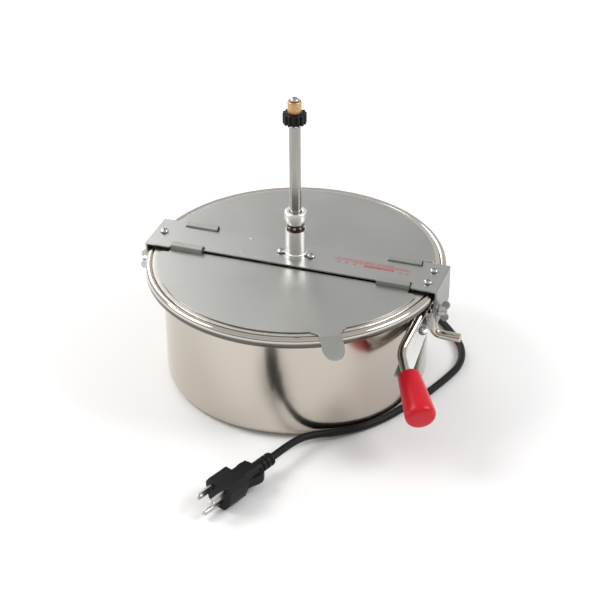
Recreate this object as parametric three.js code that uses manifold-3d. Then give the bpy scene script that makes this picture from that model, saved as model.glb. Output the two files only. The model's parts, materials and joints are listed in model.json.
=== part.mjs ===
// Popcorn kettle: a drum with a lidded pan, a geared stirrer, a side handle and a mains lead.
// Millimetres, +Z up. The origin is the middle of the base, +X runs along the crossbar to the
// handle side, and the lid with the tab faces -Y.
import * as THREE from 'three';
import { mergeVertices } from 'three/addons/utils/BufferGeometryUtils.js';
import Module from 'manifold-3d';

const wasm = await Module();
wasm.setup();

const vec = (x, y, z) => new THREE.Vector3(x, y, z);

// Driving dimensions
const gap = 0.3; // between touching pieces
const drum = { radius: 112, wall: 1, foot: 9, lip: 94, neck: 93.6, flare: 6 };
const bead = { ring: 123.4, radius: 3.1, height: 102.7, skirt: 3.2 };
const pan = { radius: 108, wall: 1, floor: 32, corner: 13, brim: 120.7, brimTop: 105.8, fold: 2 };
const bar = { half: 128.2, side: 22, waist: 18.3, sheet: 1.2, top: 109.1, flange: 1.4, foot: 75.5 };
const hinge = { y: 18, z: 108.5, inner: 2.8, outer: 3.6, width: 28, x: [-91, 91] };
const strip = { inner: 15.9, outer: 20, slot: 13.9, length: 30 };
const lid = { radius: 116.8, edge: 19.6, step: 26.2, corner: 5, level: 106.1, sheet: 0.8 };
const tab = { angle: 31.6, half: 9, from: 111, bend: 125.5, tip: 145, slope: 28, root: 14 };
const sideBolt = { y: -12, z: 86.5, radius: 2.5, hole: 2.8, head: 4.2, from: 121.8, to: 135.4 };
const lug = { inner: 124.4, outer: 126.4, front: -15.8, foot: 8.4, back: 16, top: 93, bottom: 80 };
const wing = { hub: 4.6, hubTop: 3.9, hubLength: 5.6, span: 8.4, length: 8.6, thick: 2.2 };
const shaft = { radius: 4.9, bottom: 36.5, shoulder: 229.6, stub: 3.2, top: 251.3, bore: 5.2 };
const housing = { radius: 8.6, top: 134, bore: 5.3, seat: 104.2, seatTop: 107.5, screwX: 13.2 };
const gear = { teeth: 14, tip: 9.8, root: 7.7, bottom: 232.2, top: 241.1, bore: 3.5 };
const base = { radius: 93.4, top: 3, postRing: 80, postAngles: [90, 210, 330], postTop: 21.3 };
const rod = { radius: 3.8, sides: 10, steps: 44, bend: 9 };
const strap = { back: 25, front: 50, half: 6.35, thick: 2.2, place: vec(116.2, -27.1, 73.8) };
const cord = { radius: 3.1, sides: 9, steps: 60 };
const gland = { z: 22, neck: 5, wide: 8, tip: 4.2, flange: 3, length: 33 };
const plug = { length: 62, bottom: 0.3, top: 23.6, boot: 5.5, bootLength: 26, boreZ: 12 };

const finishes = {
  brushedSteel: { color: 0xa8aaa6, roughness: 0.36, metalness: 1 },
  polishedSteel: { color: 0xc4bdb4, roughness: 0.14, metalness: 1 },
  chrome: { color: 0xb9b4ac, roughness: 0.08, metalness: 1 },
  zinc: { color: 0xb4b8b6, roughness: 0.3, metalness: 1 },
  aluminium: { color: 0xc3c5c6, roughness: 0.3, metalness: 1 },
  brass: { color: 0xc09a55, roughness: 0.28, metalness: 1 },
  darkSteel: { color: 0x4a3f38, roughness: 0.4, metalness: 0.8 },
  blackPlastic: { color: 0x161616, roughness: 0.45, metalness: 0 },
  redPlastic: { color: 0xc3202f, roughness: 0.32, metalness: 0 },
  mineralFibre: { color: 0xd8d2c4, roughness: 0.95, metalness: 0 },
  ceramic: { color: 0xe4e0d6, roughness: 0.6, metalness: 0 },
};

const kettle = new THREE.Group();

// Turn any closed geometry into merged triangles that face outwards.
function closed(geometry) {
  const bare = new THREE.BufferGeometry();
  bare.setAttribute('position', geometry.getAttribute('position').clone());
  if (geometry.index) bare.setIndex(geometry.index.clone());
  const merged = mergeVertices(bare, 1e-4);
  const place = merged.getAttribute('position');
  const corners = merged.index.array;
  const kept = [];
  let volume = 0;
  const a = new THREE.Vector3();
  const b = new THREE.Vector3();
  const c = new THREE.Vector3();
  for (let i = 0; i < corners.length; i += 3) {
    const [p, q, r] = [corners[i], corners[i + 1], corners[i + 2]];
    if (p === q || q === r || r === p) continue;
    kept.push(p, q, r);
    a.fromBufferAttribute(place, p);
    b.fromBufferAttribute(place, q);
    c.fromBufferAttribute(place, r);
    volume += a.dot(b.cross(c));
  }
  if (volume < 0) {
    for (let i = 0; i < kept.length; i += 3) [kept[i], kept[i + 1]] = [kept[i + 1], kept[i]];
  }
  merged.setIndex(kept);
  return merged;
}

function toSolid(geometry) {
  const clean = closed(geometry);
  return new wasm.Manifold(new wasm.Mesh({
    numProp: 3,
    vertProperties: new Float32Array(clean.getAttribute('position').array),
    triVerts: new Uint32Array(clean.index.array),
  }));
}

function toGeometry(solid) {
  const mesh = solid.getMesh();
  const geometry = new THREE.BufferGeometry();
  geometry.setAttribute('position', new THREE.BufferAttribute(mesh.vertProperties, 3));
  geometry.setIndex(new THREE.BufferAttribute(mesh.triVerts, 1));
  return geometry;
}

function join(first, ...others) {
  return toGeometry(others.reduce((sum, other) => sum.add(toSolid(other)), toSolid(first)));
}

function cut(first, ...others) {
  return toGeometry(others.reduce((rest, other) => rest.subtract(toSolid(other)), toSolid(first)));
}

function common(first, second) {
  return toGeometry(toSolid(first).intersect(toSolid(second)));
}

function add(name, geometry, finish) {
  const shape = closed(geometry);
  shape.computeVertexNormals();
  const mesh = new THREE.Mesh(shape, new THREE.MeshStandardMaterial(finish));
  mesh.name = name;
  kettle.add(mesh);
  return mesh;
}

const radians = (degrees) => THREE.MathUtils.degToRad(degrees);

// Points on an arc in a flat outline, degrees from the first axis.
function arc(x, y, radius, from, to, steps) {
  return Array.from({ length: steps + 1 }, (_, i) => {
    const angle = radians(from + ((to - from) * i) / steps);
    return [x + radius * Math.cos(angle), y + radius * Math.sin(angle)];
  });
}

// A body of revolution about Z from [radius, height] pairs.
function turned(profile, segments = 32) {
  const points = profile.map(([r, z]) => new THREE.Vector2(Math.max(r, 0), z));
  return new THREE.LatheGeometry(points, segments).rotateX(Math.PI / 2);
}

// A ring profile closes on itself.
function ringProfile(inner, outer, bottom, top) {
  return [[inner, bottom], [outer, bottom], [outer, top], [inner, top], [inner, bottom]];
}

function plate(outline, bottom, top, holes = []) {
  const shape = new THREE.Shape(outline.map(([x, y]) => new THREE.Vector2(x, y)));
  shape.holes = holes.map((hole) => new THREE.Path(hole.map(([x, y]) => new THREE.Vector2(x, y))));
  const settings = { depth: top - bottom, bevelEnabled: false };
  return new THREE.ExtrudeGeometry(shape, settings).translate(0, 0, bottom);
}

function block(x0, x1, y0, y1, z0, z1) {
  const box = new THREE.BoxGeometry(x1 - x0, y1 - y0, z1 - z0);
  return box.translate((x0 + x1) / 2, (y0 + y1) / 2, (z0 + z1) / 2);
}

// Send local x, y, z to three given directions at a place.
function aimed(geometry, xAxis, yAxis, zAxis, place) {
  const frame = new THREE.Matrix4().makeBasis(xAxis, yAxis, zAxis).setPosition(place);
  return geometry.applyMatrix4(frame);
}

// Put a body of revolution's own axis along a direction.
function along(geometry, direction, place) {
  const axis = direction.clone().normalize();
  const turn = new THREE.Quaternion().setFromUnitVectors(new THREE.Vector3(0, 0, 1), axis);
  return geometry.applyQuaternion(turn).translate(place.x, place.y, place.z);
}

const post = (x, y, radius, z0, z1, sides = 16) => turned(
  [[0, z0], [radius, z0], [radius, z1], [0, z1]], sides).translate(x, y, 0);

// A polyline whose inner corners are rounded.
function roundedPath(points, radius) {
  const path = new THREE.CurvePath();
  let last = points[0];
  for (let i = 1; i < points.length - 1; i += 1) {
    const corner = points[i];
    const into = corner.clone().sub(points[i - 1]).normalize();
    const out = points[i + 1].clone().sub(corner).normalize();
    const start = corner.clone().addScaledVector(into, -radius);
    const end = corner.clone().addScaledVector(out, radius);
    path.add(new THREE.LineCurve3(last, start));
    path.add(new THREE.QuadraticBezierCurve3(start, corner, end));
    last = end;
  }
  path.add(new THREE.LineCurve3(last, points[points.length - 1]));
  return path;
}

function tube(path, radius, sides, steps) {
  const section = new THREE.Shape(
    arc(0, 0, radius, 0, 360 - 360 / sides, sides - 1).map(([x, y]) => new THREE.Vector2(x, y)));
  return new THREE.ExtrudeGeometry(section, { steps, extrudePath: path, bevelEnabled: false });
}

// A pan-head screw that points down its own -Z, head seat at zero.
function panScrew(headRadius, headHeight, shankRadius, shankLength) {
  const slot = 0.7;
  const body = turned([
    [0, -shankLength], [shankRadius, -shankLength], [shankRadius, 0], [headRadius, 0],
    [headRadius, headHeight * 0.45], [headRadius * 0.72, headHeight * 0.9],
    [headRadius * 0.3, headHeight], [0, headHeight]], 14);
  const reach = headRadius * 0.55;
  const deep = headHeight * 0.45;
  return cut(body, block(-reach, reach, -slot / 2, slot / 2, deep, headHeight + 1),
    block(-slot / 2, slot / 2, -reach, reach, deep, headHeight + 1));
}

// Drum: rounded foot and a straight wall.
function outerDrum() {
  const { radius, wall, foot, lip, neck } = drum;
  const footRing = radius - foot;
  const profile = [
    [lip, 0], ...arc(footRing, foot, foot, -90, 0, 5), [radius, neck - gap], [radius - wall, neck - gap],
    ...arc(footRing, foot, foot - wall, 0, -90, 4), [lip, wall], [lip, 0],
  ];
  const cordHole = post(0, 0, gland.neck + gap, -radius - 5, 0, 20).rotateX(Math.PI / 2);
  return cut(turned(profile, 52), cordHole.translate(0, 0, gland.z));
}

// Rim ring on the drum's top edge: a flare that ends in a rolled bead with a short skirt.
function rimRing() {
  const { radius, wall, neck, flare } = drum;
  const flareRing = radius + flare;
  const shelf = neck + flare;
  const drop = shelf + wall - bead.height;
  const meet = bead.ring - Math.sqrt(bead.radius ** 2 - drop ** 2);
  const beadEnd = 180 + THREE.MathUtils.radToDeg(Math.asin(-drop / bead.radius));
  return turned([
    ...arc(flareRing, neck, flare, 180, 90, 4),
    ...arc(bead.ring, bead.height - bead.skirt, bead.radius, 180, 360, 6),
    ...arc(bead.ring, bead.height, bead.radius, 0, beadEnd, 6),
    [meet, shelf + wall], ...arc(flareRing, neck, flare + wall, 90, 180, 4), [radius, neck],
  ], 52);
}

function cookingPan() {
  const { radius, wall, floor, corner, brim, brimTop, fold } = pan;
  const turnHeight = floor + corner;
  const foldHeight = brimTop - wall - fold;
  const foldRing = radius + fold;
  return turned([
    [0, floor], ...arc(radius - corner, turnHeight, corner, -90, 0, 3),
    ...arc(foldRing, foldHeight, fold, 180, 90, 3), [brim, brimTop - wall], [brim, brimTop],
    ...arc(foldRing, foldHeight, fold + wall, 90, 180, 3),
    ...arc(radius - corner, turnHeight, corner - wall, 0, -90, 3), [0, floor + wall]], 52);
}

function heaterParts() {
  const ring = turned(arc(68, 27.4, 4.2, 0, 360, 8), 32);
  add('heating_ring', ring, finishes.darkSteel);
  const clamp = turned([[0, 21.6], [84, 21.6], [84, 22.8], [0, 22.8]], 40);
  add('heater_clamp_plate', clamp, finishes.zinc);
  const pad = turned([[0, 10.4], [98, 10.4], [98, 20.4], [0, 20.4]], 48);
  const postHoles = base.postAngles.map((angle) => {
    const [[x, y]] = arc(0, 0, base.postRing, angle, angle, 1);
    return post(x, y, 4.6, 9, 22, 12);
  });
  add('insulation_pad', cut(pad, ...postHoles), finishes.mineralFibre);
  add('thermostat', post(28, 0, 11, 23.2, 31.4, 20), finishes.ceramic);
  const fuse = post(0, 0, 3.4, -12, 12, 12).rotateY(Math.PI / 2).translate(-30, 0, 27.2);
  add('thermal_fuse', fuse, finishes.zinc);
  add('terminal_block', block(-16, 16, 46, 62, 3.4, 10), finishes.ceramic);
}

function baseParts() {
  const cover = turned([[0, 0], [base.radius, 0], [base.radius, base.top], [0, base.top]], 56);
  const sinks = [];
  base.postAngles.forEach((angle, i) => {
    const [[x, y]] = arc(0, 0, base.postRing, angle, angle, 1);
    sinks.push(turned([[0, -1], [5.2, -1], [2.3, 2], [2.3, 4], [0, 4]], 16).translate(x, y, 0));
    const column = turned([[0, 16], [2.3, 16], [2.3, base.top + gap], [4, base.top + gap],
      [4, base.postTop], [0, base.postTop]], 16);
    add(`base_post_${i + 1}`, column.translate(x, y, 0), finishes.zinc);
    const screw = turned([[0, 0.1], [3.7, 0.1], [1.9, 1.9], [1.9, 14], [0, 14]], 16);
    add(`base_screw_${i + 1}`, screw.translate(x, y, 0), finishes.zinc);
  });
  add('base_cover', cut(cover, ...sinks), finishes.brushedSteel);
}

// Crossbar: a flat sheet with a bent-down flange at each end and a slot behind each hinge.
const barScrews = [['left', -120, 0.7], ['right_front', 117.5, -9.6], ['right_rear', 117.5, 9.6]];

function crossbar() {
  const { half, side, waist, sheet, top, flange, foot } = bar;
  const [inboard, outboard] = [-1, 1].map((end) => hinge.x[1] + (end * strip.length) / 2);
  const quarter = [[inboard, waist], [inboard, strip.outer], [outboard, strip.outer],
    [outboard, side], [half, side]];
  const edge = [...quarter, ...quarter.slice().reverse().map(([x, y]) => [x, -y])];
  const other = edge.map(([x, y]) => [-x, -y]);
  const sheetBody = plate([...edge, ...other], top - sheet, top);
  const outline = [[-side, top], [-20, foot + 5], [-14.5, foot], [15, foot], [20.5, foot + 5],
    [side, top]];
  const upright = plate(outline, 0, flange);
  const turn = [vec(0, 1, 0), vec(0, 0, 1), vec(1, 0, 0)];
  const right = aimed(upright.clone(), ...turn, vec(half - flange, 0, 0));
  const left = aimed(upright.clone(), ...turn, vec(-half, 0, 0));
  const holes = [post(0, 0, housing.radius + 0.4, top - 5, top + 5, 32)];
  for (const x of hinge.x) {
    for (const facing of [-1, 1]) {
      const [near, far] = [facing * strip.slot, facing * strip.inner].sort((a, b) => a - b);
      holes.push(block(x - strip.length / 2, x + strip.length / 2, near, far, top - 5, top + 5));
    }
  }
  for (const facing of [-1, 1]) {
    holes.push(post(facing * housing.screwX, 0, 1.9, top - 5, top + 5));
    const boltHole = post(0, 0, sideBolt.hole, -5, 5).rotateY(Math.PI / 2);
    holes.push(boltHole.translate(facing * half, sideBolt.y, sideBolt.z));
  }
  for (const [, x, y] of barScrews) holes.push(post(x, y, 1.9, top - 5, top + 5));
  return cut(join(sheetBody, right, left), ...holes);
}

function restPads() {
  const [bottom, top] = [pan.brimTop + gap, bar.top - bar.sheet - gap];
  for (const [name, x0, x1] of [['left', -123.5, -109.5], ['right', 109.5, 123.5]]) {
    const holes = barScrews.filter(([, x]) => x > x0 && x < x1)
      .map(([, x, y]) => post(x, y, 1.9, bottom - 2, top + 2));
    add(`rest_pad_${name}`, cut(block(x0, x1, -15, 15, bottom, top), ...holes), finishes.zinc);
  }
  for (const [name, x, y] of barScrews) {
    const screw = panScrew(3.7, 2.3, 1.6, 3).translate(x, y, bar.top + gap);
    add(`crossbar_screw_${name}`, screw, finishes.zinc);
  }
}

// Lid: a half disc whose tongues rise in front of the bar, roll over its edge and enter its slots.
function curl() {
  const { inner, outer, width, z, y } = hinge;
  const low = lid.level - z;
  const high = low + lid.sheet;
  const reach = lid.step - y + 1;
  const outline = [[reach, high], ...arc(0, 0, outer, -26.4, 215, 12),
    ...arc(0, 0, inner, 215, -59, 12), [reach, low]];
  return plate(outline, -width / 2, width / 2);
}

function lidSheet() {
  const { radius, edge, step, corner, level, sheet } = lid;
  const swing = THREE.MathUtils.radToDeg(Math.asin((step + corner) / radius));
  const side = Math.sqrt(radius ** 2 - (step + corner) ** 2);
  const [inboard, outboard] = [-1, 1].map((end) => hinge.x[1] + (end * hinge.width) / 2);
  const right = [...arc(side - corner, -step - corner, corner, 0, 90, 4), [outboard, -step],
    [inboard, -step], [inboard, -edge]];
  const left = right.map(([x, y]) => [-x, y]).reverse();
  const outline = [...arc(0, 0, radius, 180 + swing, 360 - swing, 36), ...right, ...left];
  return plate(outline, level, level + sheet);
}

function lidWithTongues() {
  const tongues = hinge.x.map((x) => aimed(
    curl(), vec(0, -1, 0), vec(0, 0, 1), vec(-1, 0, 0), vec(x, -hinge.y, hinge.z)));
  return join(lidSheet(), ...tongues);
}

function lidTab() {
  const { half, from, bend, tip, slope, root, angle } = tab;
  const low = lid.level;
  const high = low + lid.sheet;
  const fall = (tip - bend) * Math.tan(radians(slope));
  const side = [[from, low], [bend, low], [tip, low - fall], [tip, high - fall], [bend, high],
    [from, high]];
  const bent = aimed(plate(side, -root, root), vec(1, 0, 0), vec(0, 0, 1), vec(0, -1, 0),
    vec(0, 0, 0));
  const centre = tip - half;
  const outline = [[from, -root], [117, -root], [119.5, -half - 2], [122.5, -half],
    ...arc(centre, 0, half, -90, 90, 12), [122.5, half], [119.5, half + 2], [117, root],
    [from, root]];
  return common(bent, plate(outline, low - 30, high + 10)).rotateZ(radians(angle - 90));
}

// Everything that turns with the stirrer.
function gearBody() {
  const outline = [];
  const step = 360 / gear.teeth;
  for (let i = 0; i < gear.teeth; i += 1) {
    const at = i * step;
    outline.push(...arc(0, 0, gear.root, at - step * 0.5, at - step * 0.34, 1));
    outline.push(...arc(0, 0, gear.tip, at - step * 0.16, at + step * 0.16, 1));
    outline.push(...arc(0, 0, gear.root, at + step * 0.34, at + step * 0.499, 1));
  }
  return plate(outline, gear.bottom, gear.top, [arc(0, 0, gear.bore, 0, 345, 23)]);
}

function stirrerBlade() {
  const half = [[9, -5], [40, -7], [70, -12], [88, -19], [87, -9], [70, -1], [40, 5], [7, 6]];
  const turnedHalf = half.map(([x, y]) => [-x, -y]);
  const arms = plate([...half, ...turnedHalf], 37, 40);
  const hub = post(0, 0, 9, 37, 52, 24);
  const pinHole = post(0, 0, 1.9, -12, 12, 12).rotateX(Math.PI / 2).translate(0, 0, 46);
  return cut(join(arms, hub), post(0, 0, shaft.bore, 30, 60, 24), pinHole);
}

function stirrerParts() {
  const { radius, bottom, shoulder, stub, top } = shaft;
  const bar1 = turned([[0, bottom], [radius - 0.8, bottom], [radius, bottom + 0.8],
    [radius, shoulder], [stub, shoulder], [stub, top], [1.9, top], [1.9, 236], [0, 236]], 28);
  const pinHole = post(0, 0, 1.8, -12, 12, 12).rotateX(Math.PI / 2).translate(0, 0, 46);
  add('stirrer_shaft', cut(bar1, pinHole), finishes.polishedSteel);
  add('stirrer_blade', stirrerBlade(), finishes.brushedSteel);
  const pin = post(0, 0, 1.5, -8.7, 8.7, 12).rotateX(Math.PI / 2).translate(0, 0, 46);
  add('blade_pin', pin, finishes.zinc);
  const collarRing = turned([[shaft.bore, 139.9], [7.6, 139.9], [9.2, 144], [9.2, 151.2],
    [shaft.bore, 151.2], [shaft.bore, 139.9]], 32);
  const setHole = post(0, 0, 2.1, -12, 0, 14).rotateY(Math.PI / 2).translate(0, 0, 147.3);
  add('shaft_collar', cut(collarRing, setHole), finishes.polishedSteel);
  const setScrew = post(0, 0, 1.8, -9, -5.3, 14).rotateY(Math.PI / 2).translate(0, 0, 147.3);
  add('collar_set_screw', setScrew, finishes.darkSteel);
  add('gear_washer', turned(ringProfile(3.5, 6.1, 229.9, 231.9), 28), finishes.zinc);
  add('drive_gear', gearBody(), finishes.blackPlastic);
  add('gear_bush', turned(ringProfile(3.5, 5.7, gear.top + gap, 251.6), 28), finishes.brass);
  add('top_screw', panScrew(3.7, 3, 1.6, 11).translate(0, 0, 251.9), finishes.zinc);
}

function bearingParts() {
  const { radius, top, bore, seat, seatTop, screwX } = housing;
  const ears = plate([...arc(screwX, 0, 6, -60, 60, 6), ...arc(0, 0, 11, 55, 125, 6),
    ...arc(-screwX, 0, 6, 120, 240, 6), ...arc(0, 0, 11, 235, 305, 6)], seat, seatTop);
  const body = join(ears, post(0, 0, radius, seat, top, 36));
  const holes = [-screwX, screwX].map((x) => post(x, 0, 1.9, seat - 2, seatTop + 2));
  add('bearing_housing', cut(body, post(0, 0, bore, seat - 2, top + 2, 28), ...holes),
    finishes.aluminium);
  for (const [name, x] of [['left', -screwX], ['right', screwX]]) {
    const screw = panScrew(3.5, 2.4, 1.6, 5).translate(x, 0, bar.top + gap);
    add(`housing_screw_${name}`, screw, finishes.zinc);
  }
  add('thrust_bearing', turned(ringProfile(bore, 7.4, top + gap, 139.6), 28), finishes.darkSteel);
}

// Side brackets, their bolts and the wing nuts that hold the crossbar's flanges.
function wingNut() {
  const { hub, hubTop, hubLength, span, length, thick } = wing;
  const centre = turned([[0, 0], [hub, 0], [hub, 1.2], [hubTop, hubLength], [0, hubLength]], 20);
  const half = [[1, 1], [3.4, 1], ...arc(span - 3.4, length - 3.4, 3.4, -50, 140, 8), [3.4, 5],
    [1, 4.6]];
  const ear = plate(half, -thick / 2, thick / 2).rotateX(Math.PI / 2);
  const bore = post(0, 0, sideBolt.hole, -1, length + 4, 20);
  return cut(join(centre, ear.clone(), ear.clone().rotateZ(Math.PI)), bore);
}

function sideFixings() {
  const drumBody = post(0, 0, drum.radius + gap, 40, 100, 96);
  for (const [name, facing, tilt] of [['left', -1, 12], ['right', 1, -20]]) {
    const span = (a, b, front, z0, z1) => block(Math.min(facing * a, facing * b),
      Math.max(facing * a, facing * b), front, lug.back, z0, z1);
    const solid = join(span(lug.inner, lug.outer, lug.front, lug.bottom, lug.top),
      span(106, lug.outer, lug.foot, lug.bottom, lug.bottom + 2.4),
      span(106, 114.6, lug.foot, lug.bottom - 14, lug.bottom + 1));
    const across = (length, radius, from) => post(0, 0, radius, 0, length, 20)
      .rotateY((facing * Math.PI) / 2).translate(facing * from, sideBolt.y, sideBolt.z);
    add(`side_bracket_${name}`, cut(solid, drumBody, across(6, sideBolt.hole, 122)),
      finishes.brushedSteel);
    const head = across(1.8, sideBolt.head, sideBolt.from);
    const shank = across(sideBolt.to - sideBolt.from, sideBolt.radius, sideBolt.from);
    add(`flange_bolt_${name}`, join(head, shank), finishes.zinc);
    const nut = wingNut().rotateZ(radians(tilt)).rotateY((facing * Math.PI) / 2);
    add(`wing_nut_${name}`, nut.translate(facing * (bar.half + gap), sideBolt.y, sideBolt.z),
      finishes.zinc);
  }
}

// Handle: a bent rod from the outer pin, up behind the flange, forward and out into the grip.
const gripAxis = vec(0.479, -0.832, -0.279).normalize();
const gripRight = vec(0.867, 0.499, 0);
const gripDown = new THREE.Vector3().crossVectors(gripRight, gripAxis);
const rodPin = vec(144, 2, 53.5);
const rodCorner = vec(120.4, 2, 53.5);
const rodElbow = vec(118.6, 2, 93);
const rodBend = vec(108.8, -57.5, 69);
const rodMouth = rodBend.clone().addScaledVector(gripAxis, 22.5);
const gripMouth = rodMouth.clone().addScaledVector(gripRight, 2.3).addScaledVector(gripDown, 2.7);

function rodPoints() {
  return [rodPin, rodCorner, rodElbow, rodBend, rodMouth.clone().addScaledVector(gripAxis, 20)];
}

function handleRod() {
  return tube(roundedPath(rodPoints(), rod.bend), rod.radius, rod.sides, rod.steps);
}

function handleGrip() {
  const profile = [[0, 0], [8.7, 0], [9.4, 1.2], [12.5, 39], [12.2, 42.2], [11, 44.6], [8.6, 45.8],
    [0, 45.8]];
  const body = along(turned(profile, 32), gripAxis, gripMouth);
  const hollow = along(post(0, 0, 7.6, -3, 7, 24), gripAxis, gripMouth);
  const rodHole = along(post(0, 0, rod.radius + 0.4, -6, 21, 20), gripAxis, rodMouth);
  return cut(body, hollow, rodHole);
}

// Strap beside the rod's inclined run. Its lower edge is notched where the rod crosses it.
function handleStrapParts() {
  const run = vec(-0.03, -0.929, -0.368).normalize();
  const face = vec(0.4, -0.43, 0.81).addScaledVector(run, -vec(0.4, -0.43, 0.81).dot(run)).normalize();
  const across = new THREE.Vector3().crossVectors(face, run);
  const { back, front, half, thick } = strap;
  const side = 3;
  const outline = [[-back, -half], [-back, 1 - half], [-half / 2, half], [front, half], [front, -half]];
  const place = (geometry) => aimed(geometry, run, across, face, strap.place);
  const sheet = plate(outline, -thick / 2, thick / 2, [arc(0, side, 1.6, 0, 330, 11)]);
  const clearance = tube(roundedPath(rodPoints(), rod.bend), rod.radius + gap, rod.sides, rod.steps);
  const grip = along(post(0, 0, 40, -gap, 60), gripAxis, gripMouth);
  const drumBody = post(0, 0, drum.radius + gap, 20, 100, 96);
  add('handle_strap', cut(place(sheet), clearance, grip, drumBody), finishes.brushedSteel);
  const head = panScrew(3.7, 2.8, 1.15, 13).translate(0, side, thick / 2 + gap);
  add('handle_screw', place(head), finishes.zinc);
  const boss = place(post(0, side, 2.2, -26, -thick / 2 - gap, 14));
  const bore = place(post(0, side, 1.45, -14, 5, 12));
  add('handle_boss', cut(boss, bore, drumBody, clearance), finishes.zinc);
}

function rodPad() {
  const body = block(106, 120.4, -3.6, 8, 60, 76);
  const path = new THREE.LineCurve3(rodCorner.clone().setZ(40), rodElbow);
  return cut(body, post(0, 0, drum.radius + gap, 40, 90, 96),
    tube(path, rod.radius + gap, 16, 2));
}

// Lead: out of the gland at the back, down to the surface and round the drum to the front.
const glandTip = drum.radius + gap + gland.length;
const plugStart = vec(30.9, -152.2, plug.boreZ);
const plugRun = vec(-0.36, -0.933, 0).normalize();
const cordRoute = [
  vec(0, glandTip + 2 * gap, gland.z), vec(0, 155, 21.4), vec(4.5, 166, 18), vec(15, 174.5, 12.5),
  vec(29, 174.5, 7.5), vec(43, 167, 4.3), vec(57, 153.5, 3.2), vec(72, 136, 3.2), vec(86, 119, 3.2),
  vec(99.5, 102.5, 3.2), vec(114, 86, 3.2), vec(127, 69, 3.2), vec(134, 52, 3.2),
  vec(135.5, 34, 3.2), vec(131.5, 16, 3.2), vec(125.5, -2, 3.2), vec(118.5, -20, 3.2),
  vec(109, -38.5, 3.2), vec(97.5, -60, 3.4), vec(81.8, -80.8, 4.4), vec(65, -96.3, 6.2),
  vec(52.6, -106, 8), vec(44.5, -116, 9.6), vec(39.8, -126.5, 10.8), vec(36.5, -136, 11.6),
  plugStart.clone().addScaledVector(plugRun, -2 * gap),
];

function cordGland() {
  const { neck, wide, tip, flange, length } = gland;
  const body = turned([[0, -6], [neck, -6], [neck, 0], [wide, 0], [wide, flange], [6.4, flange + 1],
    [tip, length], [0, length]], 24);
  return along(body, vec(0, 1, 0), vec(0, drum.radius + gap, gland.z));
}

function plugParts() {
  const side = vec(0.933, -0.36, 0).normalize();
  const up = new THREE.Vector3().crossVectors(plugRun, side).normalize();
  const base0 = vec(plugStart.x, plugStart.y, 0);
  const place = (geometry) => aimed(geometry, plugRun, side, up, base0);
  const flip = Math.sign(up.z);
  const { length, bottom, top } = plug;
  const middle = (bottom + top) / 2;
  const wingHalf = [[16, 5], [19, 9.8], [23, 11.8], [28, 11.6], [34, 9.4], [44, 8]];
  const wings = plate([...wingHalf, ...wingHalf.slice().reverse().map(([x, y]) => [x, -y])], 8, 15.4);
  const lengthwise = (geometry) => aimed(geometry, vec(0, 1, 0), vec(0, 0, 1), vec(1, 0, 0), vec(0, 0, 0));
  const head = lengthwise(plate([[-6, bottom], [6, bottom], [10.4, 5], [12.9, middle], [12.9, 19.4],
    [10, top], [-10, top], [-12.9, 19.4], [-12.9, middle], [-10.4, 5]], 42, length));
  const waist = lengthwise(plate([[-5, 3.6], [5, 3.6], [9, 8], [9, 17], [6, 21], [-6, 21], [-9, 17],
    [-9, 8]], 24, 43));
  const upright = (geometry) => geometry.scale(1, 1, flip);
  const boot = post(0, 0, plug.boot, 0, plug.bootLength, 16).rotateY(Math.PI / 2)
    .translate(0, 0, flip * plug.boreZ);
  const body = join(upright(wings), upright(head), upright(waist), boot);
  add('plug_body', place(body), finishes.blackPlastic);
  const blade = plate([[0, -3.1], [14.5, -3.1], [16.5, -2], [16.5, 2], [14.5, 3.1], [0, 3.1]],
    -0.75, 0.75, [arc(12.6, 0, 1.5, 0, 330, 11)]).rotateX(Math.PI / 2);
  for (const [name, y] of [['left', 6.35], ['right', -6.35]]) {
    const prong = blade.clone().translate(plug.length + gap, y, flip * 17);
    add(`plug_blade_${name}`, place(prong), finishes.brass);
  }
  const pin = turned([[0, 0], [2.4, 0], [2.4, 16], [1.4, 18], [0, 18.4]], 14);
  pin.rotateY(Math.PI / 2).translate(plug.length + gap, 0, flip * 5.2);
  add('plug_ground_pin', place(pin), finishes.brass);
}

add('outer_drum', outerDrum(), finishes.polishedSteel);
add('rim_ring', rimRing(), finishes.polishedSteel);
add('cooking_bowl', cookingPan(), finishes.polishedSteel);
heaterParts();
baseParts();
add('crossbar', crossbar(), finishes.brushedSteel);
restPads();
add('lid_front', join(lidWithTongues(), lidTab()), finishes.brushedSteel);
add('lid_rear', lidWithTongues().rotateZ(Math.PI), finishes.brushedSteel);
bearingParts();
stirrerParts();
sideFixings();
add('handle_rod', handleRod(), finishes.chrome);
add('handle_grip', handleGrip(), finishes.redPlastic);
handleStrapParts();
add('rod_pad', rodPad(), finishes.zinc);
add('cord_gland', cordGland(), finishes.blackPlastic);
const lead = new THREE.CatmullRomCurve3(cordRoute, false, 'centripetal');
add('power_cord', tube(lead, cord.radius, cord.sides, cord.steps), finishes.blackPlastic);
plugParts();

export default kettle;
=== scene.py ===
import json
import math
import bmesh
import bpy
from mathutils import Matrix, Vector


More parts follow.
